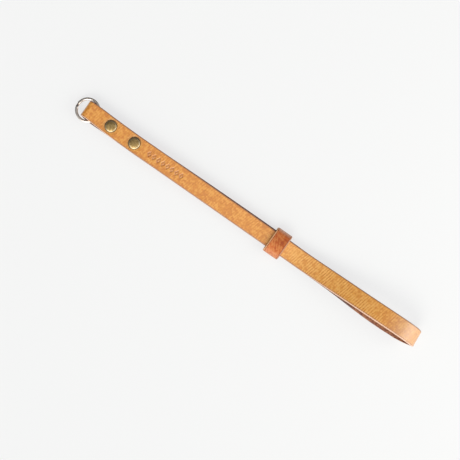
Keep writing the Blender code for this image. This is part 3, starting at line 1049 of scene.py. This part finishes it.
# %% Rivet tree
def turn_profile(tree, profile, radius, sides):
    """Turn a profile, drawn with x as its radius and y as its height, round the upright axis."""
    profile = keep_way(tree, profile, "turned_place", position(tree))
    flat = split(tree, position(tree))
    shifted = combine(tree, minus(tree, flat["X"], radius), times(tree, flat["Y"], -1.0))
    profile = put(tree, "GeometryNodeSetPosition", {"Geometry": profile, "Position": shifted})
    circle = put(tree, "GeometryNodeCurvePrimitiveCircle", {"Radius": radius, "Resolution": sides})
    circle = put(tree, "GeometryNodeSetCurveNormal", {"Curve": circle.outputs["Curve"]}, mode="Z_UP")
    turned = put(tree, "GeometryNodeCurveToMesh", {"Curve": circle, "Profile Curve": profile})
    return put(tree, "GeometryNodeMergeByDistance", {"Geometry": turned, "Distance": 0.002 * MM})


def build_rivet_tree(sizes):
    tree, inputs = new_tree("rivets", sizes)
    turned = []
    for name in ("Cap", "Back"):
        profile = drawn_curve(tree, inputs[name])
        turned.append(turn_profile(tree, profile, inputs["Radius"], inputs["Sides"]))
    rivet = put(tree, "GeometryNodeJoinGeometry")
    for piece in turned:
        tree.links.new(piece.outputs[0], rivet.inputs[0])
    spots = put(tree, "GeometryNodeMeshToPoints", {"Mesh": inputs["Geometry"]})
    turn = put(tree, "FunctionNodeRandomValue", {"Max": math.tau, "Seed": 4}, data_type="FLOAT")
    places = {"Points": spots, "Instance": rivet, "Rotation": combine(tree, z=turn.outputs[1])}
    rivets = put(tree, "GeometryNodeInstanceOnPoints", places)
    end_tree(tree, rivets, inputs["Brass"])
    return tree


# %% [markdown]
# ## Antique brass
#
# The caps were darkened and then rubbed, so brass shows towards the rim and an olive brown stays in
# the middle. A dark ring is painted where the rim meets the leather, as painted shade for the shade
# and dark reflection there. It could be one even brown, but the profile remembers each point's
# radius, and that says where to put all three, and where the fine turning lines run.

# %% Antique brass finish
BRASS_DARK = (0.34, 0.225, 0.085, 1)
BRASS_OLIVE = (0.52, 0.36, 0.15, 1)
BRASS_RUBBED = (0.60, 0.49, 0.31, 1)
# Painted shade at the cap's edge, where it meets the leather.
BRASS_EDGE_SHADE = (0.15, 0.095, 0.050, 1)
TURNING_LINES = 0.22 * MM


def shade_metal(material, color, rough, relief):
    inputs = {"Base Color": color, "Metallic": 1.0, "Roughness": rough, "Normal": relief}
    return shade(material, inputs)


def brass_finish():
    material, tree = new_material("antique_brass")
    place = put(tree, "ShaderNodeTexCoord").outputs["Object"]
    turned = put(tree, "ShaderNodeAttribute", attribute_name="turned_place").outputs["Vector"]
    radius = split(tree, turned)["X"]
    patina = noise(tree, place, 1.2 * MM, 4.0)
    specks = noise(tree, place, 0.25 * MM, 3.0)
    wander = times(tree, minus(tree, patina, 0.5), 1.1 * MM)
    rim = rise(tree, plus(tree, radius, wander), 2.3 * MM, 3.3 * MM)
    middle = mix_color(tree, rise(tree, patina, 0.3, 0.7), BRASS_DARK, BRASS_OLIVE)
    color = mix_color(tree, rim, middle, BRASS_RUBBED)
    # Painted shade: a dark ring where the rim meets the leather, for the shade and dark reflection
    # there.
    edge_shade_reach = plus(tree, radius, times(tree, wander, 0.4))
    color = mix_color(tree, rise(tree, edge_shade_reach, 3.02 * MM, 3.36 * MM), color, BRASS_EDGE_SHADE)
    rough = mix_value(tree, rise(tree, specks, 0.3, 0.7), 0.34, 0.48)
    lines = calc(tree, "SINE", times(tree, radius, math.tau / TURNING_LINES))
    height = plus(tree, times(tree, lines, 0.25), specks)
    return shade_metal(material, color, rough, bump(tree, height, 0.35, 0.03 * MM))


# %% Make the rivets
CAP_HEIGHT = 1.2 * MM
CAP_RIM = 0.30 * MM
CAP_ROUNDNESS = 2.2
CAP_SEAT = STACK_TOP_Z + LEATHER / 2 + FIT_GAP


def cap_profile():
    """From the middle of the top, over the shoulder, to the rim that bites into the leather."""
    radius = RIVET_CAP / 2
    points = []
    for step in range(25):
        share = math.sin(math.radians(90 * step / 24))
        rise_share = (1 - share**CAP_ROUNDNESS) ** (1 / CAP_ROUNDNESS)
        points.append((radius * share, CAP_SEAT + CAP_RIM + (CAP_HEIGHT - CAP_RIM) * rise_share))
    points += [(radius - 0.02 * MM, CAP_SEAT - 0.1 * MM), (radius - 0.2 * MM, CAP_SEAT - FIT_GAP)]
    return points + [(0, CAP_SEAT - FIT_GAP)]


def back_profile():
    """The flat back: a rounded disc that stands on the table and is pressed up into the tail."""
    radius, round_over = RIVET_CAP / 2, 0.35 * MM
    top = BACK_HEIGHT + FIT_GAP
    points = [(0, top), (radius - round_over, top)]
    for start, z in ((90, top - round_over), (0, round_over)):
        for step in range(5):
            angle = math.radians(start - 90 * step / 4)
            x = radius - round_over + round_over * math.cos(angle)
            points.append((x, z + round_over * math.sin(angle)))
    return points + [(2.2 * MM, 0.0), (1.7 * MM, 0.18 * MM), (0, 0.18 * MM)]


cap_drawing = bpy.data.objects.new("cap_profile", drawing("cap_profile", cap_profile()))
back_drawing = bpy.data.objects.new("back_profile", drawing("back_profile", back_profile()))
rivet_sizes = {
    "Cap": cap_drawing,
    "Back": back_drawing,
    "Radius": RIVET_CAP / 2,
    "Sides": 72,
    "Brass": brass_finish(),
}
rivet_start = bpy.data.meshes.new("rivet_places")
rivet_start.from_pydata(rivet_spots, [], [])
rivets = run_tree(build_rivet_tree(rivet_sizes), rivet_sizes, rivet_start, "rivets_brass", 50)
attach(rivets, "strap_body")
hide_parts("rivet_1_cap", "rivet_1_base", "rivet_2_cap", "rivet_2_base")

# %% [markdown]
# ## The split ring
#
# The ring is flat wire wound twice. Each turn lies level, and a short step carries the wire
# from one to the other just where the two ends meet. The tree bends a straight row of points
# round that course, which keeps the ring's width, the step and the wire's sizes as inputs.

# %% Ring tree
def build_ring_tree(sizes):
    tree, inputs = new_tree("split_ring", sizes)
    row = put(tree, "GeometryNodeMeshLine", {"Count": inputs["Points"]})
    last = minus(tree, inputs["Points"], 1.0)
    share = calc(tree, "DIVIDE", put(tree, "GeometryNodeInputIndex"), last)
    step = inputs["Step Angle"]
    two_turns = minus(tree, 2 * math.tau, times(tree, step, 2.0))
    angle = plus(tree, step, times(tree, share, two_turns))
    turn = plus(tree, angle, inputs["Split Angle"])
    radius = times(tree, minus(tree, inputs["Diameter"], inputs["Band"]), 0.5)
    lift = times(tree, plus(tree, inputs["Wire"], inputs["Turn Gap"]), 0.5)
    climb = rise(tree, angle, minus(tree, math.tau, step), plus(tree, math.tau, step))
    level = times(tree, minus(tree, times(tree, climb, 2.0), 1.0), lift)
    x = times(tree, radius, calc(tree, "COSINE", turn))
    y = times(tree, radius, calc(tree, "SINE", turn))
    spot = vector_calc(tree, "ADD", combine(tree, x, y, level), inputs["Place"])
    wound = put(tree, "GeometryNodeSetPosition", {"Geometry": row, "Position": spot})
    path = put(tree, "GeometryNodeMeshToCurve", {0: wound})
    path = put(tree, "GeometryNodeSetCurveNormal", {"Curve": path}, mode="Z_UP")
    path = keep_course(tree, path)
    section = keep_way(tree, drawn_curve(tree, inputs["Section"]), "cut", position(tree))
    curves = {"Curve": path, "Profile Curve": section, "Fill Caps": True}
    wire = put(tree, "GeometryNodeCurveToMesh", curves)
    end_tree(tree, wire, inputs["Nickel"])
    return tree


# %% [markdown]
# ## Polished nickel
#
# Nickel plate is a mirror with a warm cast, and on a ring that has been on and off a camera it
# carries hairlines that follow the wire. They could be scratched in with an image, but the wire
# remembers its own length, so they are noise that is pulled out along it.

# %% Polished nickel finish
NICKEL_HAZY = (0.58, 0.51, 0.45, 1)
NICKEL_BRIGHT = (0.76, 0.70, 0.64, 1)
HAIRLINE_PULL = 0.03


def nickel_finish():
    material, tree = new_material("polished_nickel")
    cut = split(tree, put(tree, "ShaderNodeAttribute", attribute_name="cut").outputs["Vector"])
    pulled = times(tree, point_value(tree, "course"), HAIRLINE_PULL)
    hairlines = noise(tree, combine(tree, pulled, cut["X"], cut["Y"]), 0.06 * MM, 3.0)
    haze = noise(tree, put(tree, "ShaderNodeTexCoord").outputs["Object"], 2.5 * MM, 3.0)
    color = mix_color(tree, rise(tree, haze, 0.3, 0.7), NICKEL_HAZY, NICKEL_BRIGHT)
    rough = plus(tree, mix_value(tree, haze, 0.08, 0.22), times(tree, hairlines, 0.08))
    return shade_metal(material, color, rough, bump(tree, hairlines, 0.25, 0.01 * MM))


# %% Make the ring
RING_BAND = 1.5 * MM
RING_WIRE = 0.8 * MM
RING_ROUNDNESS = 2.15


def wire_outline(band, wire, roundness, sides=32):
    """A flat wire rolled from round stock: between an ellipse and a rectangle."""
    points = []
    for side in range(sides):
        x, y = math.cos(math.tau * side / sides), math.sin(math.tau * side / sides)
        reach = (abs(x) ** roundness + abs(y) ** roundness) ** (-1 / roundness)
        points.append((x * reach * band / 2, y * reach * wire / 2))
    return points


wire_section = draw_section("wire_section", wire_outline(RING_BAND, RING_WIRE, RING_ROUNDNESS))
ring_low, ring_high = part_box("split_ring")
ring_middle = tuple((low + high) / 2 for low, high in zip(ring_low, ring_high))
ring_sizes = {
    "Diameter": 14.4 * MM,
    "Band": RING_BAND,
    "Wire": RING_WIRE,
    "Section": wire_section,
    "Turn Gap": 0.15 * MM,
    "Split Angle": math.radians(188),
    "Step Angle": math.radians(11),
    "Points": 420,
    "Place": ring_middle,
    "Nickel": nickel_finish(),
}
ring_start = bpy.data.meshes.new("ring_start")
ring = run_tree(build_ring_tree(ring_sizes), ring_sizes, ring_start, "ring_wire", 40)
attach(ring, "ring_body")
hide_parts("split_ring")
